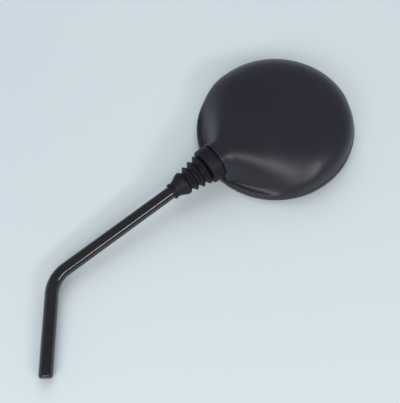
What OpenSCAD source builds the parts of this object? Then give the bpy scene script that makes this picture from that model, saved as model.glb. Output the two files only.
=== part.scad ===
// Round motorcycle mirror on a bent rod, with a ball joint in the neck of its back shell.
// The origin is on the axis of the rod's straight leg, just above its rounded free end.
// The leg points up +Z and the rod leans to +X.
// The shell's back faces -Y and the glass faces +Y.

/* [Stem] */
// Radius of the steel rod
rod_r = 5; // [4:0.5:7]
// Length of the clamped leg, from its end to the corner of the bend
leg_len = 70; // [55:1:120]
// Length of the leaning leg, from the corner of the bend to the face of the neck
arm_len = 150; // [110:1:200]
// Lean of the arm away from the clamped leg
arm_lean = 54; // [30:1:70]
// Bend radius at the centre line of the rod
bend_r = 22; // [14:1:30]
// Rounding of the rod's free edge
rod_edge_r = 1.2; // [0.4:0.1:2]
// Radius of the turned tang that carries the ball
tang_r = 4; // [3:0.1:4.5]

/* [Ball joint] */
// Radius of the ball
ball_r = 9; // [8:0.5:10]
// Depth of the ball's centre behind the face of the neck
ball_depth = 11; // [10.5:0.5:14]
// Radius of the cross pin through the ball and the tang
pin_r = 1.25; // [1:0.25:1.5]
// Wall of the nylon seats at the middle of the ball
seat_wall = 2; // [1.6:0.1:2.4]
// Furthest tilt of the head each way
tilt_max = 15; // [8:1:16]
// Sheet thickness of the disc spring
spring_t = 0.9; // [0.6:0.1:1.2]
// Height of the disc spring under load
spring_h = 1.6; // [1.2:0.1:2.2]
// Thickness of the retaining plate
plate_t = 2; // [1.5:0.5:3]
// Radius of the screws
screw_r = 1.45; // [1.2:0.05:1.6]
// Length of the screws under the head
screw_len = 10; // [7:0.5:12]

/* [Head] */
// Radius of the head
head_r = 64; // [60:1:80]
// Distance from the face of the neck to the centre of the head
neck_reach = 61; // [57:1:76]
// Height of the neck axis above the front edge of the rim
neck_h = 20.5; // [19:0.5:24]
// Wall of the moulded shell
shell_wall = 2.4; // [2:0.1:3]
// Height of the upright skirt round the rim
skirt_h = 4.5; // [4:0.1:6]
// Rise of the flange inside the skirt
flange_rise = 6; // [5:0.1:8]
// Rise of the dome above the skirt, at the centre of the head
dome_rise = 25.5; // [24:0.5:30]
// Gain in that rise for each millimetre towards the neck
dome_slope = 0.25; // [0.1:0.01:0.3]
// Direction of the dome's two flat flanks, away from the neck
flank_turn = 36; // [30:1:45]
// Distance from the head's centre to the foot of each flank
flank_r = 54.5; // [52:0.5:60]
// Squareness of the dome's section
dome_power = 2.4; // [2:0.1:3]
// Radius of the neck
neck_r = 14.8; // [14.8:0.1:17]
// Length of the spigot that holds the boot
spigot_len = 5; // [4:0.5:7]

/* [Glass] */
// Radius of curvature of the convex glass
glass_curve_r = 1200; // [800:50:2000]
// Thickness of the glass
glass_t = 2; // [1.8:0.1:2.4]
// Thickness of the foam ring behind the glass
foam_t = 0.8; // [0.5:0.1:1]
// Thickness of the bezel's lip in front of the glass
lip_t = 1.6; // [1:0.1:1.8]
// Width of that lip over the edge of the glass
lip_over = 1.5; // [1:0.1:3]
// Wall of the bezel's skirt
bezel_wall = 1.3; // [1:0.1:2]
// Wall of the shell's rim outside the bezel
rim_wall = 2.3; // [2:0.1:3]

/* [Boot] */
// Radius of the boot's collar
collar_r = 14.2; // [13.8:0.1:14.6]
// Length of the collar
collar_len = 10.5; // [8:0.5:14]
// Number of folds between the collar and the cuff
fold_count = 4; // [3:1:6]
// Distance between two folds
fold_pitch = 5.7; // [4.5:0.1:7]
// Crest radius of the fold beside the collar
fold_r = 12.5; // [11.5:0.1:13.5]
// Loss of crest radius from one fold to the next
fold_step = 1.05; // [0.8:0.05:1.1]
// Depth of the grooves between the folds
fold_depth = 2.6; // [1.8:0.1:2.8]
// Length of the cone between the last fold and the cuff
cuff_cone = 7; // [5:0.5:10]
// Length of the cuff that grips the rod
cuff_len = 2.4; // [2:0.1:4]
// Radial thickness of the cuff
cuff_t = 1.4; // [1:0.1:2]
// Wall of the rubber
boot_wall = 1.2; // [1:0.1:1.4]

/* [Hidden] */
$fn = 96;
// Running clearance of the ball, the seats and the boot
run_fit = 0.08;
// Clearance between pieces that are fixed together
seat_fit = 0.03;
// Clearance round the rod where it swings in the neck
swing_gap = 0.5;
// Overlap that makes a cut clean
cut = 1;
// Half length of the core that joins a straight leg of the rod to the bend
core_half = 1.5;

// Stem, from an origin that lies just inside the straight wall of the clamped leg
end_below = rod_edge_r + 0.3;
corner_z = leg_len - end_below;
bend_tangent = bend_r * tan(arm_lean / 2);
leg_straight = corner_z - bend_tangent;
arm_total = arm_len + ball_depth;
tang_start = -sqrt(pow(ball_r, 2) - pow(rod_r, 2));
tang_end = ball_r - 2;

// Ball joint, along the neck axis from the centre of the ball
seat_r = ball_r + run_fit;
pocket_in_r = seat_r + seat_wall;
pocket_r = pocket_in_r + run_fit;
face_wall = 2.5;
face_x = -ball_depth;
seat_front_x = face_x + face_wall + run_fit;
seat_split = 0.2;
cup_end_x = ball_r - 1.8;
plate_x = cup_end_x + spring_h;
seat_mouth_r = -seat_front_x * tan(tilt_max) + rod_r / cos(tilt_max) + swing_gap / 3;
spigot_in_r = (spigot_len - face_x) * tan(tilt_max) + rod_r / cos(tilt_max) + swing_gap;
spigot_r = spigot_in_r + 2;
tube_r = pocket_r + 1.8;
plate_r = pocket_in_r - 0.3;
boss_r = screw_r + 2.2;
screw_side = neck_r - boss_r + 0.4;
screw_drop = sqrt(pow(pocket_r + boss_r, 2) - pow(screw_side, 2));
washer_r = screw_r + 1.9;
washer_t = 0.6;
screw_head_r = screw_r + 1.5;
screw_head_h = 1.9;
screw_head_chamfer = 1.1;
spring_in_r = plate_r / 2 + 0.8;
spring_out_r = pocket_in_r - 0.4;
pin_short = 0.8;

// Head, along +Y from the neck axis
head_x = face_x + neck_reach;
dome_side_r = head_r - 0.5;
rim_bore_r = head_r - rim_wall;
ledge_h = skirt_h + 0.3;
glass_back_h = ledge_h - foam_t;
glass_front_h = glass_back_h - glass_t;
bezel_r = rim_bore_r - seat_fit;
glass_r = bezel_r - bezel_wall - 0.1;
fairing_x = 16;
fairing_r = 12.4;
fairing_half = 6.5;
fairing_drop = 1.8;
ledge_t = 1.2;
ledge_in_r = glass_r - 3.5;
foam_in_r = glass_r - 3.2;
hook_t = 1.6;
hook_width = 8;
hook_reach = 1.5;
scallop_r = collar_r + 0.4;
scallop_len = 20;

// Boot, along the arm from the face of the neck
cuff_start = collar_len + fold_pitch * fold_count + cuff_cone;
boot_len = cuff_start + cuff_len;
boot_gap = 1;
collar_edge = 0.8;
collar_round = 1.6;
collar_seat = collar_len - 2.4;
cuff_edge = 0.5;
groove_power = 1.4;
glass_gap = 0.1;
lip_land = 0.6;
lip_bevel = 0.9;

// Puts children, drawn along +X from the ball's centre, on the arm
module on_neck()
    translate([arm_total * sin(arm_lean), 0, corner_z + arm_total * cos(arm_lean)])
        rotate([0, arm_lean - 90, 0])
            children();

// Cylinder along the neck axis from x0 to x1
module neck_rod(r, x0, x1)
    translate([x0, 0, 0])
        rotate([0, 90, 0])
            cylinder(r = r, h = x1 - x0);

// Places children at the centre of the rim's front edge, with +Z towards the back
module on_rim()
    translate([head_x, neck_h, 0])
        rotate([90, 0, 0])
            children();

// Copies children to the two screws of the retaining plate
module at_screws()
    for (side = [-1, 1])
        translate([0, screw_drop, side * screw_side])
            children();

module stem() color([0.07, 0.07, 0.08]) {
    rotate_extrude()
        stem_end_profile();
    translate([0, 0, leg_straight - core_half])
        cylinder(r = rod_r / 2, h = 2 * core_half);
    translate([0, 0, leg_straight])
        translate([bend_r, 0, 0])
            rotate([90, 0, 0])
                rotate([0, 0, 180 - arm_lean])
                    rotate_extrude(angle = arm_lean)
                        translate([bend_r, 0])
                            circle(r = rod_r);
    on_neck()
        difference() {
            union() {
                neck_rod(rod_r, bend_tangent - arm_total, tang_start);
                neck_rod(
                    rod_r / 2,
                    bend_tangent - arm_total - core_half,
                    bend_tangent - arm_total + core_half
                );
                neck_rod(tang_r, tang_start, tang_end);
            }
            rotate([90, 0, 0])
                cylinder(r = pin_r + seat_fit, h = 4 * tang_r, center = true);
        }
}

// Half section of the clamped leg, rounded at its free edge
module stem_end_profile() {
    edge_z = rod_edge_r - end_below;
    translate([0, edge_z])
        square([rod_r, leg_straight - edge_z]);
    translate([0, -end_below])
        square([rod_r - rod_edge_r, rod_edge_r]);
    intersection() {
        translate([rod_r - rod_edge_r, edge_z])
            circle(r = rod_edge_r);
        translate([0, -end_below])
            square([rod_r, rod_edge_r]);
    }
}

module ball() color([0.72, 0.72, 0.74])
    on_neck()
        difference() {
            sphere(r = ball_r);
            neck_rod(tang_r + seat_fit, -2 * ball_r, 2 * ball_r);
            neck_rod(ball_r, -2 * ball_r, tang_start);
            neck_rod(ball_r, cup_end_x, 2 * ball_r);
            rotate([90, 0, 0])
                cylinder(r = pin_r + seat_fit, h = 3 * ball_r, center = true);
        }

module ball_pin() color([0.6, 0.6, 0.62])
    on_neck()
        rotate([90, 0, 0])
            cylinder(r = pin_r, h = 2 * (ball_r - pin_short), center = true);

module front_seat() color([0.85, 0.84, 0.8])
    on_neck()
        difference() {
            neck_rod(pocket_in_r, seat_front_x, -seat_split);
            sphere(r = seat_r);
            neck_rod(seat_mouth_r, -2 * ball_r, 0);
        }

module rear_cup() color([0.85, 0.84, 0.8])
    on_neck()
        difference() {
            neck_rod(pocket_in_r, seat_split, cup_end_x);
            sphere(r = seat_r);
        }

// Conical washer between the cup and the plate
module disc_spring() color([0.5, 0.5, 0.52])
    on_neck()
        translate([cup_end_x, 0, 0])
            rotate([0, 90, 0])
                rotate_extrude()
                    polygon([
                        [spring_out_r, 0],
                        [spring_out_r, spring_t],
                        [spring_in_r, spring_h],
                        [spring_in_r, spring_h - spring_t]
                    ]);

// Pressed plate with two screw ears on the glass side
module retainer_plate() color([0.62, 0.63, 0.65])
    on_neck()
        difference() {
            union() {
                neck_rod(plate_r, plate_x, plate_x + plate_t);
                at_screws()
                    neck_rod(boss_r, plate_x, plate_x + plate_t);
                translate([plate_x, screw_drop - boss_r, -screw_side])
                    cube([plate_t, 2 * boss_r, 2 * screw_side]);
            }
            neck_rod(plate_r / 2, plate_x - cut, plate_x + plate_t + cut);
            at_screws()
                neck_rod(screw_r + 0.25, plate_x - cut, plate_x + plate_t + cut);
        }

module screw_washers() color([0.7, 0.7, 0.7])
    on_neck()
        at_screws()
            difference() {
                neck_rod(washer_r, plate_x + plate_t, plate_x + plate_t + washer_t);
                neck_rod(screw_r + 0.15, plate_x, plate_x + plate_t + washer_t + cut);
            }

module retainer_screws() color([0.7, 0.7, 0.7])
    on_neck()
        at_screws()
            translate([plate_x + plate_t + washer_t, 0, 0])
                rotate([0, 90, 0]) {
                    translate([0, 0, -screw_len])
                        cylinder(r = screw_r, h = screw_len);
                    cylinder(
                        r1 = screw_head_r,
                        r2 = screw_head_r - screw_head_chamfer,
                        h = screw_head_h
                    );
                }

// Larger of two heights, with a fillet where they differ by less than reach
function soft_max(a, b, reach) =
    let (over = max(0, reach - abs(a - b)) / reach)
    max(a, b) + reach * over * over / 4;

// Foot of the dome: a circle with two flat flanks beside the neck, at 180 degrees
function foot_r(a, t) =
    let (flank = flank_r / max(0.2, cos(abs(180 - a) - flank_turn)))
    -soft_max(-dome_side_r, -flank, 3) - t;

// Height of the flange above the skirt at radius r
function flange_at(r, t) = flange_rise * sqrt(max(0, 1 - pow(r / (head_r - t), 2)));

// Height of the dome above the skirt at radius r, falling on below it past the foot
function dome_at(x, r, foot) =
    r < foot
        ? (dome_rise - dome_slope * x) * sqrt(max(0, 1 - pow(r / foot, dome_power)))
        : -2 * (r - foot);

// Back of the shell drawn in by t: rings of points, from the centre out to the rim
form_sides = 72;
dome_rings = 14;
flange_rings = 5;
valley_share = 1.1;
function ring_point(i, a, t) =
    let (
        foot = foot_r(a, t),
        share = min(1, sin(90 * min(i, dome_rings) / dome_rings)),
        out = max(0, i - dome_rings) / flange_rings,
        r = foot * share + (head_r - t - foot) * out,
        reach = valley_share * (head_r - t - foot),
        rise = soft_max(flange_at(r, t), dome_at(r * cos(a), r, foot), reach)
    )
    [r * cos(a), r * sin(a), skirt_h - t + rise];

// Solid of that form, closed by a flat base at height base_h
module shell_form(t, base_h) {
    rings = dome_rings + flange_rings;
    points = concat(
        [ring_point(0, 0, t)],
        [for (i = [1:rings], j = [0:form_sides - 1]) ring_point(i, 360 * j / form_sides, t)],
        [for (j = [0:form_sides - 1])
            let (a = 360 * j / form_sides)
            [(head_r - t) * cos(a), (head_r - t) * sin(a), base_h]]
    );
    faces = concat(
        [for (j = [0:form_sides - 1]) [0, 1 + (j + 1) % form_sides, 1 + j]],
        [for (i = [0:rings - 1], j = [0:form_sides - 1])
            let (a = 1 + i * form_sides + j, b = 1 + i * form_sides + (j + 1) % form_sides)
            [a, b, b + form_sides]],
        [for (i = [0:rings - 1], j = [0:form_sides - 1])
            let (a = 1 + i * form_sides + j, b = 1 + i * form_sides + (j + 1) % form_sides)
            [a, b + form_sides, a + form_sides]],
        [[for (j = [0:form_sides - 1]) 1 + rings * form_sides + j]]
    );
    on_rim()
        polyhedron(points = points, faces = faces, convexity = 4);
}

// Neck block that runs from the face into the dome: round above, upright at the sides
module fairing(t, x0)
    hull() {
        neck_rod(neck_r - t, x0, x0 + 1);
        translate([x0, 0, t - neck_r])
            cube([1, neck_h - skirt_h - t, 2 * (neck_r - t)]);
        for (side = [-1, 1])
            translate([0, fairing_drop + fairing_r - neck_r, side * fairing_half])
                neck_rod(fairing_r - t, fairing_x, fairing_x + 1, $fn = 32);
    }

module back_shell() color([0.13, 0.13, 0.15])
    on_neck()
        difference() {
            union() {
                shell_form(0, 0);
                fairing(0, face_x);
                neck_rod(spigot_r, face_x - spigot_len, face_x + cut);
            }
            difference() {
                union() {
                    shell_form(shell_wall, -cut);
                    fairing(shell_wall, face_x + face_wall);
                }
                neck_rod(tube_r, face_x, plate_x);
                at_screws()
                    neck_rod(boss_r, face_x, plate_x);
                translate([plate_x + plate_t + run_fit, -neck_r, -hook_width / 2])
                    cube([hook_t, neck_r - plate_r + hook_reach, hook_width]);
                on_rim()
                    translate([0, 0, ledge_h])
                        difference() {
                            cylinder(r = rim_bore_r + cut, h = ledge_t);
                            translate([0, 0, -cut])
                                cylinder(r = ledge_in_r, h = ledge_t + 2 * cut);
                        }
            }
            neck_rod(pocket_r, face_x + face_wall, plate_x + cut);
            neck_rod(spigot_in_r, face_x - spigot_len - cut, plate_x);
            at_screws()
                neck_rod(screw_r + run_fit, plate_x - screw_len, plate_x + cut);
            difference() {
                neck_rod(scallop_r, face_x - scallop_len, face_x);
                neck_rod(spigot_r, face_x - spigot_len, face_x + cut);
            }
            on_rim()
                translate([0, 0, -cut])
                    cylinder(r = rim_bore_r, h = ledge_h + cut);
        }

module foam_ring() color([0.2, 0.2, 0.2])
    on_neck()
        on_rim()
            translate([0, 0, glass_back_h])
                difference() {
                    cylinder(r = glass_r, h = foam_t);
                    translate([0, 0, -cut])
                        cylinder(r = foam_in_r, h = foam_t + 2 * cut);
                }

// Fall of the convex glass from its centre to radius r
function glass_fall(r) = glass_curve_r - sqrt(pow(glass_curve_r, 2) - pow(r, 2));

module mirror_glass() color([0.75, 0.8, 0.84]) {
    steps = 12;
    sag = glass_fall(glass_r);
    front = [for (i = [0:steps])
        let (r = glass_r * i / steps)
        [r, glass_front_h - sag + glass_fall(r)]];
    back = [for (i = [steps:-1:0])
        let (r = glass_r * i / steps)
        [r, glass_back_h - sag + glass_fall(r)]];
    on_neck()
        on_rim()
            rotate_extrude()
                polygon(concat(front, back));
}

module bezel() color([0.1, 0.1, 0.11])
    on_neck()
        on_rim()
            rotate_extrude()
                polygon([
                    [glass_r - lip_over, glass_front_h - glass_gap],
                    [glass_r - lip_over, glass_front_h - glass_gap - lip_land],
                    [glass_r - lip_over + lip_bevel, glass_front_h - lip_t],
                    [bezel_r, glass_front_h - lip_t],
                    [bezel_r, ledge_h],
                    [bezel_r - bezel_wall, ledge_h],
                    [bezel_r - bezel_wall, glass_front_h - glass_gap]
                ]);

// Outer radius of the boot's folds at distance q from the collar
function fold_at(q) =
    let (n = min(fold_count - 0.5, q / fold_pitch))
    fold_r - fold_step * max(0, n - 0.5)
        - fold_depth * pow(abs(cos(180 * n)), groove_power);

// Outer half section of the boot, from the collar to the cuff
function boot_outline() = concat(
    [for (a = [90:-30:0])
        [collar_r - collar_edge * (1 - cos(a)), boot_gap + collar_edge * (1 - sin(a))]],
    [for (a = [0:30:90])
        [collar_r - collar_round * (1 - cos(a)), collar_len - collar_round * (1 - sin(a))]],
    [for (i = [0.1:0.1:fold_count - 0.5])
        [fold_at(i * fold_pitch), collar_len + i * fold_pitch]],
    [[rod_r + cuff_t - cuff_edge, cuff_start - cuff_edge],
     [rod_r + cuff_t, cuff_start],
     [rod_r + cuff_t, boot_len - cuff_edge],
     [rod_r + cuff_t - cuff_edge, boot_len]]
);

// Inner half section, from the cuff back to the collar
function boot_inside() = concat(
    [[rod_r + run_fit, boot_len], [rod_r + run_fit, cuff_start]],
    [for (i = [fold_count - 0.5:-0.1:0])
        [fold_at(i * fold_pitch) - boot_wall, collar_len + i * fold_pitch]],
    [[spigot_r + run_fit, collar_seat],
     [spigot_r + run_fit, boot_gap]]
);

module boot() color([0.06, 0.06, 0.065])
    on_neck()
        translate([face_x, 0, 0])
            rotate([0, -90, 0])
                rotate_extrude()
                    polygon(concat(boot_outline(), boot_inside()));

stem();
ball();
ball_pin();
front_seat();
rear_cup();
disc_spring();
retainer_plate();
screw_washers();
retainer_screws();
back_shell();
foam_ring();
mirror_glass();
bezel();
boot();
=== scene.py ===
# %% [markdown]
# # A round motorcycle mirror, from behind
# The mirror lies face down on pale paper, so the picture shows the black back of its
# head, a rubber boot at the neck and a bent rod. The exact parts come from the CAD
# model. This script gives them finishes, and builds finer stand-ins for the pieces on
# the outside.

# %% Load the CAD model
import bpy
import math
from mathutils import Matrix, Vector


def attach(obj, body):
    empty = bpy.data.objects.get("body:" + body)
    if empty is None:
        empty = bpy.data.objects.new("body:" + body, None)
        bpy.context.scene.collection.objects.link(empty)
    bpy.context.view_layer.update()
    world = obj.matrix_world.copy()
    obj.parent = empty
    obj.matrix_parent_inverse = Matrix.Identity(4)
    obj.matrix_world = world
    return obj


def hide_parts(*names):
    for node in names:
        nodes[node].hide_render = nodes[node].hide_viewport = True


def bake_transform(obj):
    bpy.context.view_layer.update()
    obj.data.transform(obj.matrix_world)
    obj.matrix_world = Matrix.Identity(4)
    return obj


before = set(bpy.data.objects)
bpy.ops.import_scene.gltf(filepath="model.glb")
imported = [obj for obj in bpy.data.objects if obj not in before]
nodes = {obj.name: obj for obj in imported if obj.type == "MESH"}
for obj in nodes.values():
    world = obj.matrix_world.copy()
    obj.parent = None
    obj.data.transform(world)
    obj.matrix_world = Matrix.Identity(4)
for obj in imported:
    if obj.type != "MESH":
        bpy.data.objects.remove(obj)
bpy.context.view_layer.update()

# %% [markdown]
# ## Two places to measure from
# The clamped leg of the rod points up +Z from the origin. The head hangs on the arm,
# which leans over, so its sizes are easier to give along the arm: x along the arm from
# the centre of the ball, y towards the glass, z across. A matrix turns one into the
# other. Sizes here are in millimetres, as on a drawing, and become metres at the end.

# %% Sizes and the neck's own axes
MM = 0.001
LEAN = math.radians(54)
ROD_R, EDGE_R, END_BELOW = 5.0, 2.2, 1.5
LEG, ARM, BEND_R = 68.5, 161.0, 22.0
FACE_X = -11.0
HEAD_X, NECK_H, HEAD_R = 50.0, 20.5, 64.0

along = Vector((math.sin(LEAN), 0, math.cos(LEAN)))
across = Vector((-math.cos(LEAN), 0, math.sin(LEAN)))
ball_at = Vector((0, 0, LEG)) + ARM * along
NECK = Matrix((along, (0, 1, 0), across)).transposed().to_4x4()
NECK.translation = ball_at


def at_neck(x, y, z):
    """A point given on the neck's axes in mm, as a point of the scene in metres."""
    return (NECK @ Vector((x, y, z))) * MM


print("ball centre", at_neck(0, 0, 0), "neck runs along", along)

# %% [markdown]
# ## One way to make most pieces
# Turned and moulded pieces are rings, one after the other. A circle is extruded upwards
# ring by ring, as you would with E in edit mode. Then every vertex goes to the place
# that a small function gives for its ring and its column. Rings that end in the same
# place merge, so a closed profile closes, and a ring of no radius becomes a point.
# The spin tool could turn the round ones, but it can't do the shell.

# %% Helper: rings of vertices
def only(obj):
    """Selects just this object."""
    bpy.ops.object.select_all(action="DESELECT")
    obj.select_set(True)
    bpy.context.view_layer.objects.active = obj


def clean(obj, merge=1e-6):
    """Merges doubled vertices and turns the faces outwards."""
    only(obj)
    bpy.ops.object.mode_set(mode="EDIT")
    bpy.ops.mesh.select_all(action="SELECT")
    bpy.ops.mesh.remove_doubles(threshold=merge)
    bpy.ops.mesh.dissolve_degenerate(threshold=merge)
    bpy.ops.mesh.normals_make_consistent(inside=False)
    bpy.ops.object.mode_set(mode="OBJECT")


def extrude(move):
    """Extrudes the selection by this much, as E does."""
    bpy.ops.mesh.extrude_region_move(TRANSFORM_OT_translate={"value": tuple(move)})


def ring_piece(name, columns, rings, place):
    """Extrudes a circle into rings and puts each vertex at place(ring, turn)."""
    bpy.ops.object.select_all(action="DESELECT")
    bpy.ops.mesh.primitive_circle_add(vertices=columns, radius=1, location=(0, 0, 0))
    obj = bpy.context.object
    obj.name = obj.data.name = name
    bpy.ops.object.mode_set(mode="EDIT")
    bpy.ops.mesh.select_all(action="SELECT")
    for _ in range(rings - 1):
        extrude((0, 0, 1))
    bpy.ops.object.mode_set(mode="OBJECT")
    for vertex in obj.data.vertices:
        turn = math.atan2(vertex.co.y, vertex.co.x) / math.tau % 1
        turn = round(turn * columns) % columns / columns
        vertex.co = place(round(vertex.co.z), turn)
    clean(obj)
    return obj


def turned(name, profile, point, columns=128, closed=True):
    """Turns a profile of (distance, radius) pairs about the axis of point(d, y, z)."""
    loop = profile + profile[:1] if closed else profile

    def place(ring, turn):
        distance, radius = loop[ring]
        angle = math.tau * turn
        return point(distance, radius * math.cos(angle), radius * math.sin(angle))

    return ring_piece(name, columns, len(loop), place)


def arc(cx, cy, radius, start, end, steps):
    """Points on an arc, with angles in degrees."""
    angles = [math.radians(start + (end - start) * i / steps) for i in range(steps + 1)]
    return [(cx + radius * math.cos(a), cy + radius * math.sin(a)) for a in angles]


def smooth(obj, degrees=35):
    """Smooth shading, with edges sharper than that kept."""
    only(obj)
    bpy.ops.object.shade_smooth_by_angle(angle=math.radians(degrees))
    print(obj.name, len(obj.data.polygons), "faces")
    return obj


# %% [markdown]
# ## Shader sums as plain Python
# Node trees get long when each sum is a node that has to be wired by hand. This small
# class wraps one socket. Adding or multiplying it makes the Math node, and `node`
# makes any other kind: its settings first, then its inputs.

# %% Helper: sockets that can be added up
class Wire:
    def __init__(self, tree, socket):
        self.tree, self.socket = tree, socket

    def node(self, kind, settings=None, out=0, **inputs):
        """Adds a node. An input is named with _ for a space, or n0, n1 by number."""
        made = self.tree.nodes.new(kind)
        for key, value in (settings or {}).items():
            setattr(made, key, value)
        for key, value in inputs.items():
            by_number = key[0] == "n" and key[1:].isdigit()
            socket = made.inputs[int(key[1:]) if by_number else key.replace("_", " ")]
            if isinstance(value, Wire):
                self.tree.links.new(value.socket, socket)
            else:
                socket.default_value = value
        return Wire(self.tree, made.outputs[out])

    def maths(self, operation, *values):
        inputs = {f"n{i}": value for i, value in enumerate(values)}
        return self.node("ShaderNodeMath", {"operation": operation}, **inputs)

    def __radd__(self, other):
        return self.maths("ADD", other, self)

    def __rsub__(self, other):
        return self.maths("SUBTRACT", other, self)

    def __mul__(self, other):
        return self.maths("MULTIPLY", self, other)

    def __rmul__(self, other):
        return self.maths("MULTIPLY", other, self)

    def step(self, low, high):
        """0 below low, 1 above high, with a soft change between."""
        return self.node(
            "ShaderNodeMapRange",
            {"interpolation_type": "SMOOTHSTEP", "clamp": True},
            Value=self, From_Min=low, From_Max=high, To_Min=0.0, To_Max=1.0,
        )

    def noise(self, scale, detail=2.0):
        return self.node("ShaderNodeTexNoise", Vector=self, Scale=scale, Detail=detail)

    def colour(self, low, high):
        """Mixes two colours by this value. Sockets 0, 6 and 7 are the share and them."""
        return self.node(
            "ShaderNodeMix", {"data_type": "RGBA"}, out=2,
            n0=self, n6=(*low, 1), n7=(*high, 1),
        )

    def bump(self, strength, distance):
        return self.node(
            "ShaderNodeBump", Height=self, Strength=strength, Distance=distance
        )


def finish_named(name):
    """An empty material: (material, place on the object as a Wire, its shader)."""
    made = bpy.data.materials.new(name)
    made.use_nodes = True
    tree = made.node_tree
    shader = tree.nodes["Principled BSDF"]
    place = tree.nodes.new("ShaderNodeTexCoord").outputs["Object"]
    return made, Wire(tree, place), shader


def plug(shader, **inputs):
    """Sets or links the shader's sockets."""
    for key, value in inputs.items():
        socket = shader.inputs[key.replace("_", " ")]
        if isinstance(value, Wire):
            value.tree.links.new(value.socket, socket)
        else:
            socket.default_value = value


# %% [markdown]
# ## Black paint on the rod
# Stove enamel on steel is glossy but never quite flat: a slow ripple, called orange
# peel, breaks up the long highlight a little. Two noises do it, a wide one for the
# roughness and a finer one for the ripple.

# %% Finish: rod paint
rod_paint, place, shader = finish_named("rod_paint")
wide = place.noise(60.0)
ripple = place.noise(420.0, 1.0)
plug(
    shader,
    Base_Color=wide.step(0.35, 0.7).colour(
        (0.005, 0.005, 0.008), (0.008, 0.008, 0.012)
    ),
    Roughness=0.09 + 0.06 * wide,
    Normal=ripple.bump(0.08, 0.0002),
    Coat_Weight=0.5,
    Coat_Roughness=0.05,
)

# %% [markdown]
# ## Satin plastic on the shell
# The mould of a shell like this is lightly etched, which gives a soft even sheen. A
# fine grain in the bump does that. Wide, faint clouds in the roughness are the marks
# that hands leave, and a few pale specks are dust.

# %% Finish: shell plastic
shell_plastic, place, shader = finish_named("shell_plastic")
clouds = place.noise(22.0, 3.0)
grain = place.noise(2600.0, 2.0)
specks = place.node(
    "ShaderNodeTexVoronoi", {"feature": "F1"}, Vector=place, Scale=150.0
)
patchy = place.noise(45.0, 1.0).step(0.58, 0.66)
dust = (1.0 - specks.step(0.03, 0.06)) * patchy
body = clouds.step(0.3, 0.7).colour((0.012, 0.012, 0.020), (0.015, 0.015, 0.024))
plug(
    shader,
    Base_Color=place.node(
        "ShaderNodeMix", {"data_type": "RGBA"}, out=2,
        n0=dust * 0.35, n6=body, n7=(0.30, 0.29, 0.30, 1),
    ),
    Roughness=0.33 + 0.08 * clouds,
    Specular_IOR_Level=0.45,
    Normal=grain.bump(0.10, 0.0001),
)

# %% [markdown]
# ## Rubber on the boot
# Moulded rubber is duller than the shell and ages with a little grey bloom. One cloudy
# noise gives the bloom: where it is high, the rubber is paler and rougher. A finer
# noise in the bump is the grain that the mould leaves.

# %% Finish: boot rubber
boot_rubber, place, shader = finish_named("boot_rubber")
bloom = place.noise(180.0, 3.0)
plug(
    shader,
    Base_Color=bloom.step(0.35, 0.75).colour(
        (0.007, 0.007, 0.012), (0.012, 0.012, 0.018)
    ),
    Roughness=0.44 + 0.16 * bloom,
    Specular_IOR_Level=0.25,
    Normal=place.noise(1500.0).bump(0.18, 0.00015),
)

# %% [markdown]
# ## The glass side
# The bezel is the same kind of plastic as the shell but smoother. The glass is silvered,
# so a metal with hardly any roughness stands for it, with faint wipe marks.

# %% Finishes: bezel and glass
bezel_plastic, place, shader = finish_named("bezel_plastic")
cloud = place.noise(40.0)
plug(
    shader,
    Base_Color=cloud.step(0.3, 0.7).colour(
        (0.015, 0.015, 0.017), (0.021, 0.021, 0.023)
    ),
    Roughness=0.30 + 0.12 * cloud,
    Normal=place.noise(2200.0).bump(0.08, 0.0001),
)

mirror_glass, place, shader = finish_named("mirror_glass")
stretched = place.node("ShaderNodeMapping", Vector=place, Scale=(1.0, 1.0, 6.0))
wipe = stretched.noise(30.0, 4.0)
plug(
    shader,
    Base_Color=wipe.step(0.4, 0.8).colour((0.86, 0.885, 0.90), (0.80, 0.83, 0.85)),
    Roughness=0.012 + 0.05 * wipe.step(0.5, 0.9),
    Metallic=1.0,
)

# %% [markdown]
# ## The pieces inside
# Ground steel has fine lines, which a noise gives when it is squeezed along one axis.
# Nylon is milky, because light goes a little way into it. Zinc plate is mottled in
# small patches, and foam is dull and full of small cells.

# %% Finishes: steel, nylon, zinc, foam
bright_steel, place, shader = finish_named("bright_steel")
squeezed = place.node("ShaderNodeMapping", Vector=place, Scale=(1.0, 14.0, 1.0))
lines = squeezed.noise(700.0)
plug(
    shader,
    Base_Color=lines.colour((0.50, 0.50, 0.52), (0.60, 0.60, 0.61)),
    Roughness=0.20 + 0.16 * lines,
    Metallic=1.0,
)

white_nylon, place, shader = finish_named("white_nylon")
milk = place.noise(90.0)
plug(
    shader,
    Base_Color=milk.colour((0.74, 0.72, 0.66), (0.82, 0.80, 0.74)),
    Roughness=0.38 + 0.1 * milk,
    Subsurface_Weight=0.15,
    Subsurface_Scale=0.002,
)

zinc_plate, place, shader = finish_named("zinc_plate")
mottle = place.node("ShaderNodeTexVoronoi", Vector=place, Scale=600.0)
plug(
    shader,
    Base_Color=mottle.step(0.0, 0.8).colour((0.52, 0.53, 0.53), (0.66, 0.66, 0.64)),
    Roughness=0.28 + 0.14 * mottle,
    Metallic=1.0,
)

foam, place, shader = finish_named("foam")
cells = place.node("ShaderNodeTexVoronoi", Vector=place, Scale=1800.0)
plug(
    shader,
    Base_Color=cells.step(0.1, 0.7).colour(
        (0.012, 0.012, 0.012), (0.045, 0.045, 0.045)
    ),
    Roughness=0.85 + 0.1 * cells,
    Normal=cells.bump(0.4, 0.0002),
)

# %% [markdown]
# Each piece gets its finish in one step, which clears its old materials first.

# %% Helper: a finish for a piece
def finish_with(obj, material):
    """Gives the piece this material, in place of the ones it had."""
    obj.data.materials.clear()
    obj.data.materials.append(material)


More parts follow.
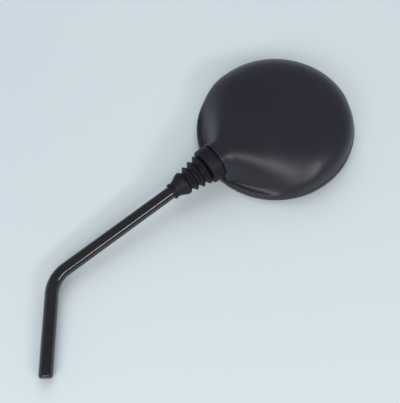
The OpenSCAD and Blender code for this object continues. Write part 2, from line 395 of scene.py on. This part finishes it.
# %% [markdown]
# ## The rod
# On the real mirror a plain steel rod is bent cold and its end is dressed round, so it
# goes into the clamp without scratching. Here a circle is extruded up the leg, spun
# through the bend and extruded on along the arm. A curve with a bevel would do as
# well, but spin keeps the rings square to the rod through the bend. The arm ends in a
# thinner tang, which carries the ball inside the neck.

# %% Piece: rod
bend_tangent = BEND_R * math.tan(LEAN / 2)
leg_top = LEG - bend_tangent
edge_z = EDGE_R - END_BELOW
tang_r, tang_start, tang_end = 4.0, -7.483, 7.0
chamfer, end_inset = 0.3, 1.0
edge_steps, leg_steps, bend_steps, arm_steps = 6, 12, 40, 20

bpy.ops.object.select_all(action="DESELECT")
bpy.ops.mesh.primitive_circle_add(
    vertices=96, radius=(ROD_R - EDGE_R) * MM, fill_type="NGON",
    location=(0, 0, -END_BELOW * MM),
)
rod = bpy.context.object
rod.name = rod.data.name = "rod"
bpy.ops.object.transform_apply(location=True, rotation=True, scale=True)
bpy.ops.object.mode_set(mode="EDIT")
bpy.ops.mesh.select_all(action="SELECT")
bpy.ops.mesh.inset(thickness=end_inset * MM)
bpy.ops.mesh.select_all(action="DESELECT")
bpy.ops.mesh.select_non_manifold(extend=False)
edge_arc = arc(ROD_R - EDGE_R, edge_z, EDGE_R, -90, 0, edge_steps)
for (r0, z0), (r1, z1) in zip(edge_arc, edge_arc[1:]):
    extrude((0, 0, (z1 - z0) * MM))
    grow = r1 / r0
    bpy.ops.transform.resize(value=(grow, grow, 1), center_override=(0, 0, z1 * MM))
for _ in range(leg_steps):
    extrude((0, 0, (leg_top - edge_z) / leg_steps * MM))
bpy.ops.mesh.spin(
    steps=bend_steps, angle=-LEAN, center=(BEND_R * MM, 0, leg_top * MM), axis=(0, 1, 0)
)
arm_run = ARM - bend_tangent + tang_start - chamfer
for _ in range(arm_steps):
    extrude(along * (arm_run / arm_steps * MM))


def rod_step(run, scale, here):
    """Extrudes the open end by run along the arm and scales the ring about here."""
    extrude(along * run * MM)
    bpy.ops.transform.resize(
        value=(scale, scale, scale), center_override=tuple(at_neck(here, 0, 0))
    )


rod_step(chamfer, (ROD_R - chamfer) / ROD_R, tang_start)
rod_step(0, tang_r / (ROD_R - chamfer), tang_start)
rod_step(tang_end - chamfer - tang_start, 1, tang_end - chamfer)
rod_step(chamfer, (tang_r - chamfer) / tang_r, tang_end)
bpy.ops.mesh.edge_face_add()
bpy.ops.object.mode_set(mode="OBJECT")
clean(rod, merge=1e-7)
smooth(rod, degrees=32)
finish_with(rod, rod_paint)
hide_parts("stem")
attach(rod, "stem")

# %% [markdown]
# ## The boot
# A rubber bellows keeps water out of the ball joint. Its collar stretches over a spigot
# on the neck, four folds let it bend, and a small cuff grips the rod. The outline is a
# list of points from the collar to the cuff and back along the inside, turned about
# the arm. The folds are a rounded wave: narrow grooves, broad crests.

# %% Piece: boot
COLLAR_R, COLLAR_LEN, GAP = 14.2, 10.5, 1.0
COLLAR_FRONT_R, COLLAR_BACK_R, COLLAR_FLOOR = 0.8, 1.6, 2.4
FOLDS, PITCH, FOLD_R, FOLD_STEP, FOLD_DEPTH = 4, 5.7, 12.5, 1.05, 2.6
GROOVE_SHARPNESS = 1.6
CUFF_CONE, CUFF_LEN, CUFF_T, CUFF_EDGE_R, BOOT_WALL = 7.0, 2.4, 1.4, 0.5, 1.2
SPIGOT_R, FIT = 11.96, 0.08
cuff_start = COLLAR_LEN + PITCH * FOLDS + CUFF_CONE
boot_len = cuff_start + CUFF_LEN


def fold_radius(n):
    """Outer radius of the folds, n folds on from the collar."""
    crest = FOLD_R - FOLD_STEP * max(0, n - 0.5)
    return crest - FOLD_DEPTH * abs(math.cos(math.pi * n)) ** GROOVE_SHARPNESS


fold_points, cone_points = 14, 9
last = FOLDS - 0.5
fold_steps = [i / fold_points for i in range(1, int(last * fold_points) + 1)]
last_fold, last_r = COLLAR_LEN + last * PITCH, fold_radius(last)
front_r, back_r, edge_r = COLLAR_FRONT_R, COLLAR_BACK_R, CUFF_EDGE_R
cuff_r = ROD_R + CUFF_T

outline = arc(GAP + front_r, COLLAR_R - front_r, front_r, 180, 90, 5)
outline += arc(COLLAR_LEN - back_r, COLLAR_R - back_r, back_r, 90, 0, 8)
outline += [(COLLAR_LEN + n * PITCH, fold_radius(n)) for n in fold_steps]
for i in range(1, cone_points):
    share = i / cone_points
    fall = (1 - math.cos(math.pi * share)) / 2
    on_cone = last_fold + (cuff_start - last_fold) * share
    outline.append((on_cone, last_r + (cuff_r - edge_r - last_r) * fall))
outline += arc(cuff_start + edge_r, cuff_r - edge_r, edge_r, 180, 90, 4)
outline += arc(boot_len - edge_r, cuff_r - edge_r, edge_r, 90, 0, 4)

on_rod, on_spigot = ROD_R + FIT, SPIGOT_R + FIT
inside = [(boot_len, on_rod), (cuff_start, on_rod)]
inside += [
    (COLLAR_LEN + n * PITCH, fold_radius(n) - BOOT_WALL) for n in reversed(fold_steps)
]
inside += [(COLLAR_LEN - COLLAR_FLOOR, on_spigot), (COLLAR_LEN / 2, on_spigot)]
inside += [(GAP, on_spigot)]

bellows = turned(
    "bellows", outline + inside, lambda d, y, z: at_neck(FACE_X - d, y, z), columns=144
)
smooth(bellows, degrees=50)
finish_with(bellows, boot_rubber)
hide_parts("boot")
at_neck(FACE_X - last_fold, 0, 0)
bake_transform(bellows)

# %% [markdown]
# ## The back shell
# One moulding: a dome that runs into the neck at its full height, and a low flange that
# falls away to the rim. Cut across the arm, the dome is an arch whose width changes: as
# wide as the neck at its face, then flaring out until it fills the rim. Where it flares,
# its sides are hollow. A soft maximum rounds the valley between dome and flange, as a
# mould maker's cutter does. Sculpting could do it too, but then no number could be
# changed later.

# %% Helper: the dome and the flange as heights
SKIRT_H, FLANGE_RISE = 4.5, 7.0
DOME_RISE, DOME_SLOPE, DOME_SIDE_R = 27.6, 0.05, 58.15
ARCH_POWER, HOLLOW_POWER, ARCH_FALL, HOLLOW_FALL = 3.0, -0.7, 0.5, 1.1
FACE_HALF, FLARE_FROM, FLARE_RATE, FLARE_SOFT = 14.3, -57.0, 1.05, 14.0
HOLLOW_STARTS, HOLLOW_ENDS = (-61.0, -51.0), (-34.0, 0.0)
VALLEY_SOFT, RIM_SHARPNESS = 5.0, 60
BESIDE_NECK, FLARE_START_SOFT = (16.0, 26.0), 6.0
FACE_AT, FACE_WALL = FACE_X - HEAD_X, 2.5
LEDGE_H, RIM_BORE_R, WALL = 4.8, 61.7, 2.4


def soft_max(a, b, reach):
    """The larger of two values, with the corner rounded where they are nearly equal."""
    over = max(0, reach - abs(a - b)) / reach
    return max(a, b) + reach * over * over / 4


def ease(value, low, high):
    """0 below low, 1 above high, with a soft change between."""
    share = min(1, max(0, (value - low) / (high - low)))
    return share * share * (3 - 2 * share)


def dome_section(x, wall):
    """(half width at the foot, power, fall) of the dome's arch at this distance."""
    hollow = ease(x, *HOLLOW_STARTS) * (1 - ease(x, *HOLLOW_ENDS))
    power, fall = ARCH_POWER + HOLLOW_POWER * hollow, ARCH_FALL + HOLLOW_FALL * hollow
    flare = FACE_HALF + FLARE_RATE * soft_max(0, x - FLARE_FROM, FLARE_START_SOFT)
    # The flare gives the half width at half the height; the foot's follows from it.
    shoulder = -soft_max(-flare, -DOME_SIDE_R, FLARE_SOFT)
    return shoulder / (1 - 0.5 ** (1 / fall)) ** (1 / power) - wall, power, fall


def dome_height(x, z, wall):
    """Height of the dome alone, or of its inside where there is a wall."""
    half, power, fall = dome_section(min(x, 0), wall)
    out = math.hypot(x, z)
    side = min(1, (out if x > 0 else abs(z)) / half)
    rise = (DOME_RISE - DOME_SLOPE * x) * (1 - side ** power) ** fall
    at_rim = (out / (HEAD_R - wall)) ** RIM_SHARPNESS * ease(abs(z), *BESIDE_NECK)
    return SKIRT_H - wall + rise * (1 - min(1, at_rim))


def flange_height(x, z, wall):
    """Height of the low flange, which is nearly flat inside and falls at the rim."""
    share = math.hypot(x, z) / (HEAD_R - wall)
    return SKIRT_H - wall + FLANGE_RISE * math.sqrt(max(0, 1 - share ** 2))


def back_height(x, z, wall, with_dome=True):
    """Height of the whole back over the rim's front plane."""
    flange = flange_height(x, z, wall)
    if not with_dome:
        return flange
    return soft_max(dome_height(x, z, wall), flange, VALLEY_SOFT)


# %% [markdown]
# The shell's columns crowd together near the neck, where its sides are steep. The close
# rings begin early there, and only near the rim elsewhere. In the neck's direction a
# ring ends at the flat face that carries the boot, and not at the rim.

# %% Helper: where the columns and the rings lie
COLUMNS, CROWDING = 420, 0.78
NECK_RINGS_R, NECK_SIDE = 38.0, (math.radians(45), math.radians(85))
RIM_KEEP, TOWARD_FACE = 0.8, 0.05


def column_angle(turn):
    """Crowds the columns round the neck, at half a turn."""
    side = 2 * turn - 1
    return math.pi * (1 + (1 - CROWDING) * side + CROWDING * side ** 3)


def face_reach(angle, face):
    """How far out the plane x = face is in this direction, kept inside the rim."""
    toward = -math.cos(angle)
    limit = HEAD_R - RIM_KEEP
    return min(limit, -face / toward) if toward > TOWARD_FACE else limit


def dense_from(angle, side_r):
    """Radius where the close rings begin: early near the neck."""
    off_neck = abs(math.pi - angle % math.tau)
    return NECK_RINGS_R + (side_r - NECK_RINGS_R) * ease(off_neck, *NECK_SIDE)


# %% [markdown]
# The outer rings start at the centre and go out over the dome and the flange. At the
# neck's face they round its edge, then drop to its foot and go on to the rim. So two
# rings lie over each other at the face, one high and one low, a hair apart.

# %% Helper: the outer rings
dome_rings, flange_rings, edge_rings, foot_rings = 44, 34, 4, 8
outer_count = dome_rings + flange_rings + edge_rings + 1 + foot_rings + 1
FACE_EDGE_R, HAIR, RIM_MARGIN = 0.6, 0.02, 1.5


def outer_ring(step, angle):
    """(radius, height) over the dome, the flange and the neck's face."""
    def high(r, dome=True):
        return back_height(r * math.cos(angle), r * math.sin(angle), 0, dome)

    start, end = dense_from(angle, HEAD_R - RIM_MARGIN), face_reach(angle, FACE_AT)
    if step <= dome_rings:
        r = start * math.sin(math.pi / 2 * step / dome_rings)
        return r, high(r)
    after = step - dome_rings
    if after <= flange_rings:
        r = start + (end - FACE_EDGE_R - start) * (after / flange_rings)
        return r, high(r)
    top, low = high(end), high(end, False)
    drop = min(FACE_EDGE_R, (top - low) / 2)
    after -= flange_rings
    if after <= edge_rings:
        bend = math.radians(90 * after / edge_rings)
        r = end - FACE_EDGE_R + FACE_EDGE_R * math.sin(bend)
        return r, high(r) - drop * (1 - math.cos(bend))
    if after == edge_rings + 1:
        return end + HAIR, low + HAIR
    out = (after - edge_rings - 1) / foot_rings
    r = HEAD_R - (HEAD_R - end - HAIR) * (1 - math.sin(math.pi / 2 * out))
    return r, high(min(r, HEAD_R), False)


# %% [markdown]
# The rim is the same all round: a rounded outer edge, the bore that takes the bezel and
# a small fillet to the ledge. The inner rings come back from the ledge to the centre,
# one wall inside the skin, but never below the ledge.

# %% Helper: the rim and the inner rings
RIM_TOP, RIM_EDGE_R, BORE_EDGE_R, LEDGE_FILLET = 2.4, 0.6, 0.4, 0.3
rim = [(HEAD_R, RIM_TOP)]
rim += arc(HEAD_R - RIM_EDGE_R, RIM_EDGE_R, RIM_EDGE_R, 0, -90, 4)
rim += arc(RIM_BORE_R + BORE_EDGE_R, BORE_EDGE_R, BORE_EDGE_R, -90, -180, 3)
rim += [(RIM_BORE_R, LEDGE_H - LEDGE_FILLET), (RIM_BORE_R - LEDGE_FILLET, LEDGE_H)]

inner_flange, inner_dome = 16, 30
INNER_KEEP, INNER_MARGIN = 1.0, 3.0


def inner_ring(step, angle):
    """(radius, height) from the ledge in to the centre, one wall inside the skin."""
    end = min(face_reach(angle, FACE_AT + FACE_WALL), HEAD_R - WALL - INNER_KEEP)
    start = dense_from(angle, HEAD_R - WALL - INNER_MARGIN)

    def high(r, dome=True):
        h = back_height(r * math.cos(angle), r * math.sin(angle), WALL, dome)
        return max(LEDGE_H, h)

    if step == 0:
        return end + HAIR, high(end, False)
    if step <= inner_flange:
        r = end + (start - end) * (step - 1) / (inner_flange - 1)
        return r, high(r)
    share = 1 - (step - inner_flange) / inner_dome
    r = start * math.sin(math.pi / 2 * share)
    return r, high(r)


# %% [markdown]
# One function now says where each vertex goes: outside first, then the rim, then the
# inside. The circle is extruded once for every ring, and the skin is there.

# %% Piece: back shell, skin
def shell_place(ring, turn):
    """The place of one vertex of the skin."""
    angle = column_angle(turn)
    if ring < outer_count:
        r, h = outer_ring(ring, angle)
    elif ring < outer_count + len(rim):
        r, h = rim[ring - outer_count]
    else:
        r, h = inner_ring(ring - outer_count - len(rim), angle)
    return at_neck(HEAD_X + r * math.cos(angle), NECK_H - h, r * math.sin(angle))


ring_total = outer_count + len(rim) + inner_flange + inner_dome + 1
shell = ring_piece("shell", COLUMNS, ring_total, shell_place)
print("shell skin", len(shell.data.polygons), "faces")

# %% [markdown]
# Inside the neck a tube holds the nylon seats, and its front end is the spigot for the
# boot. Two bosses beside it take the screws. The skin's face first gets a hole with the
# boolean modifier. Then the tube and the bosses are turned and joined to it.

# %% Piece: back shell, tube and bosses
SPIGOT_LEN, SPIGOT_IN_R, SPIGOT_EDGE = 5.0, 9.96, 0.4
POCKET_R, TUBE_R, TUBE_END = 11.16, 12.96, 8.8
SCREW_DROP, SCREW_SIDE, BOSS_R, SCREW_HOLE_R = 9.27, 11.55, 3.65, 1.53
FACE_HOLE_R, drill_from, drill_to = 11.8, FACE_X - 2, FACE_X + 3

drill = turned(
    "drill",
    [(drill_from, 0), (drill_from, FACE_HOLE_R), (drill_to, FACE_HOLE_R), (drill_to, 0)],
    at_neck, columns=96, closed=False,
)
cut = shell.modifiers.new("face_hole", "BOOLEAN")
cut.operation, cut.object, cut.solver = "DIFFERENCE", drill, "EXACT"
only(shell)
bpy.ops.object.modifier_apply(modifier="face_hole")
bpy.data.objects.remove(drill)

spigot_end, pocket_end = FACE_X - SPIGOT_LEN, FACE_X + FACE_WALL
step_from, step_to = FACE_X + 0.4, FACE_X + 0.6
tube = turned(
    "tube",
    [
        (spigot_end, SPIGOT_IN_R), (spigot_end, SPIGOT_R - SPIGOT_EDGE),
        (spigot_end + SPIGOT_EDGE, SPIGOT_R), (step_from, SPIGOT_R), (step_to, TUBE_R),
        (TUBE_END, TUBE_R), (TUBE_END, POCKET_R), (pocket_end, POCKET_R),
        (pocket_end, SPIGOT_IN_R),
    ],
    at_neck, columns=96,
)

boss_start = FACE_X + 1
boss_profile = [
    (boss_start, SCREW_HOLE_R), (boss_start, BOSS_R),
    (TUBE_END, BOSS_R), (TUBE_END, SCREW_HOLE_R),
]


def boss(side):
    """The boss for one screw, with side -1 or 1."""
    def point(d, y, z):
        return at_neck(d, SCREW_DROP + y, side * SCREW_SIDE + z)

    return turned("boss", boss_profile, point, columns=32)


bosses = [boss(-1), boss(1)]
only(shell)
for part in [tube, *bosses]:
    part.select_set(True)
bpy.ops.object.join()
smooth(shell, degrees=40)
finish_with(shell, shell_plastic)
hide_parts("back_shell")
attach(shell, "head")

# %% [markdown]
# ## The glass and its bezel
# They lie face down in the picture, but the part is looked at from all sides. The glass
# is part of a large sphere, which gives the wide view, and the bezel's bevelled lip
# holds its edge. Both are turned about the head's own axis.

# %% Pieces: glass and bezel
GLASS_R, GLASS_BACK_H, GLASS_T, CURVE_R = 60.27, 4.0, 2.0, 1200.0
BEZEL_R, BEZEL_WALL, LIP_OVER, LIP_T = 61.67, 1.3, 1.5, 1.6


def head_point(h, y, z):
    """A point at height h behind the rim's front plane."""
    return at_neck(HEAD_X + y, NECK_H - h, z)


def glass_face(h, rings):
    """Points of one face of the glass, from its centre out to its edge at height h."""
    fall = [CURVE_R - math.sqrt(CURVE_R ** 2 - (GLASS_R * i / rings) ** 2)
            for i in range(rings + 1)]
    return [(h - fall[-1] + fall[i], GLASS_R * i / rings) for i in range(rings + 1)]


GLASS_EDGE = 0.2
glass_front_h = GLASS_BACK_H - GLASS_T
front = glass_face(glass_front_h, 24)[:-1]
front += [(glass_front_h + x, GLASS_R - GLASS_EDGE + x) for x in (0.0, GLASS_EDGE)]
back = glass_face(GLASS_BACK_H, 12)[::-1]
glass = turned("glass", front + back, head_point, columns=160, closed=False)
smooth(glass, degrees=30)
finish_with(glass, mirror_glass)
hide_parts("mirror_glass")
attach(glass, "head")

lip_h, lip_r = glass_front_h - LIP_T, GLASS_R - LIP_OVER
bevel_in, bevel_out, bevel_soft = 0.9, 0.4, 0.12
under_h, land_h, land_end = (glass_front_h - down for down in (0.1, 0.6, 0.75))
BEZEL_EDGE = 0.2
profile = [
    (under_h, lip_r), (land_h, lip_r), (land_end, lip_r + 0.05),
    (lip_h + bevel_soft, lip_r + bevel_in - bevel_soft), (lip_h, lip_r + bevel_in + 0.1),
]
profile += arc(lip_h + bevel_out, BEZEL_R - bevel_out, bevel_out, 180, 90, 4)
profile += [
    (LEDGE_H - BEZEL_EDGE, BEZEL_R), (LEDGE_H, BEZEL_R - BEZEL_EDGE),
    (LEDGE_H, BEZEL_R - BEZEL_WALL), (under_h, BEZEL_R - BEZEL_WALL),
]
bezel_ring = turned("bezel_ring", profile, head_point, columns=160)
smooth(bezel_ring, degrees=30)
finish_with(bezel_ring, bezel_plastic)
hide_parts("bezel")
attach(bezel_ring, "head")

# %% [markdown]
# ## The pieces inside the neck
# The ball, its pin, the seats, the spring, the plate, the washers, the screws and the
# foam stay as the CAD model made them. They can't be seen in the picture, but each gets
# its own finish, so the head could be taken apart on screen.

# %% Finishes for the CAD pieces
finish_with(nodes["ball"], bright_steel)
finish_with(nodes["ball_pin"], bright_steel)
finish_with(nodes["disc_spring"], bright_steel)
finish_with(nodes["front_seat"], white_nylon)
finish_with(nodes["rear_cup"], white_nylon)
finish_with(nodes["retainer_plate"], zinc_plate)
finish_with(nodes["screw_washers"], zinc_plate)
finish_with(nodes["retainer_screws"], zinc_plate)
finish_with(nodes["foam_ring"], foam)

# %% [markdown]
# ## The paper
# The paper is one big plane that touches the rod's end and the rim beside the neck, as
# the mirror lies. Seen from its back it lets everything through, so it never hides the
# mirror. A faint cloud of two pale blues keeps it from looking like a flat colour.

# %% Paper
PAPER_SIZE, BACK_SIDE = 6.0, 6
paper_at = Vector((0, ROD_R, -END_BELOW)) * MM
toward_rim = Vector((0.6606, 0, 0.7507))
rise = 0.0799
paper_up = Vector((toward_rim.x * rise, -1, toward_rim.z * rise)).normalized()
bpy.ops.mesh.primitive_plane_add(size=PAPER_SIZE, location=paper_at)
paper = bpy.context.object
paper.name = "paper"
paper.rotation_mode = "QUATERNION"
paper.rotation_quaternion = paper_up.to_track_quat("Z", "Y")

paper_finish, place, shader = finish_named("paper")
shade = place.noise(2.2, 1.0)
plug(
    shader,
    Base_Color=shade.step(0.3, 0.7).colour(
        (0.66, 0.735, 0.785), (0.69, 0.76, 0.81)
    ),
    Roughness=0.9,
    Specular_IOR_Level=0.1,
    Alpha=1.0 - place.node("ShaderNodeNewGeometry", out=BACK_SIDE),
)
paper.data.materials.append(paper_finish)

# %% [markdown]
# ## Light
# Four soft boxes and a dim sky light the scene. The window at the lower right, long and
# narrow, draws the thin bright line along the rod. The front box lights the shell from
# below, and a weak one stands at the left. The ceiling box lights the paper from above.
# It isn't seen in reflections, because the dome would show it as a patch.

# %% Lamps and sky
def soft_box(name, direction, wide, distance, size, power, colour):
    """A rectangular lamp aimed at the middle of the arm, its longer side along wide."""
    data = bpy.data.lights.new(name, "AREA")
    data.shape, data.energy, data.color = "RECTANGLE", power, colour
    data.size, data.size_y = size
    lamp = bpy.data.objects.new(name, data)
    bpy.context.scene.collection.objects.link(lamp)
    toward = Vector(direction).normalized()
    lamp.location = arm_middle + toward * distance
    lamp.rotation_mode = "QUATERNION"
    side = Vector(wide).cross(toward).normalized()
    turn = Matrix((side.cross(toward), side, toward)).transposed()
    lamp.rotation_quaternion = turn.to_quaternion()
    return lamp


ARM_MIDDLE_X = -80
arm_middle = at_neck(ARM_MIDDLE_X, 0, 0)
WARM, COOL = (1.0, 0.98, 0.95), (0.95, 0.98, 1.0)
X_AXIS, Z_AXIS = (1, 0, 0), (0, 0, 1)
soft_box(
    "window", direction=(0.622, -0.55, -0.549), wide=along,
    distance=1.3, size=(0.75, 0.16), power=4.5, colour=WARM,
)
soft_box(
    "front", direction=(-0.2, -0.68, -0.70), wide=X_AXIS,
    distance=1.3, size=(1.2, 0.45), power=8.5, colour=WARM,
)
ceiling = soft_box(
    "ceiling", direction=(0.1, -0.75, 0.65), wide=X_AXIS,
    distance=1.6, size=(1.6, 1.6), power=12.5, colour=COOL,
)
ceiling.visible_glossy = False
soft_box(
    "left", direction=(-0.9, -0.35, 0.1), wide=Z_AXIS,
    distance=1.5, size=(1.2, 0.6), power=0.8, colour=COOL,
)

world = bpy.data.worlds.new("room")
bpy.context.scene.world = world
world.use_nodes = True
sky = world.node_tree.nodes["Background"]
sky.inputs["Color"].default_value = (0.93, 0.96, 1.0, 1)
sky.inputs["Strength"].default_value = 0.3

# %% [markdown]
# ## The camera
# The camera's place was found by fitting the outline of the head and both edges of the
# rod in the picture. Its three turns are written as they were found, then stacked into
# one matrix: right, up and back of the camera.

# %% Camera
FOCAL_PX, WIDE_PX, SENSOR = 583.49, 400.0, 36.0
camera_at = Vector((132.16, -399.47, -55.01)) * MM
pitch, yaw, roll = -0.4182, 0.0543, -0.0582
level = Matrix(((1, 0, 0), (0, 0, -1), (0, 1, 0)))
tip = Matrix.Rotation(pitch, 3, "X")
swing = Matrix.Rotation(yaw, 3, "Y")
lean_over = Matrix.Rotation(roll, 3, "Z")
looks = lean_over @ swing @ tip @ level
right, down, forward = looks
camera_data = bpy.data.cameras.new("camera")
camera = bpy.data.objects.new("camera", camera_data)
bpy.context.scene.collection.objects.link(camera)
camera_data.sensor_fit = "HORIZONTAL"
camera_data.sensor_width = SENSOR
camera_data.lens = FOCAL_PX * SENSOR / WIDE_PX
camera_data.clip_start, camera_data.clip_end = 0.01, 20
camera.matrix_world = Matrix((right, -down, -forward)).transposed().to_4x4()
camera.location = camera_at
bpy.context.scene.camera = camera
bpy.context.scene.view_settings.view_transform = "Standard"
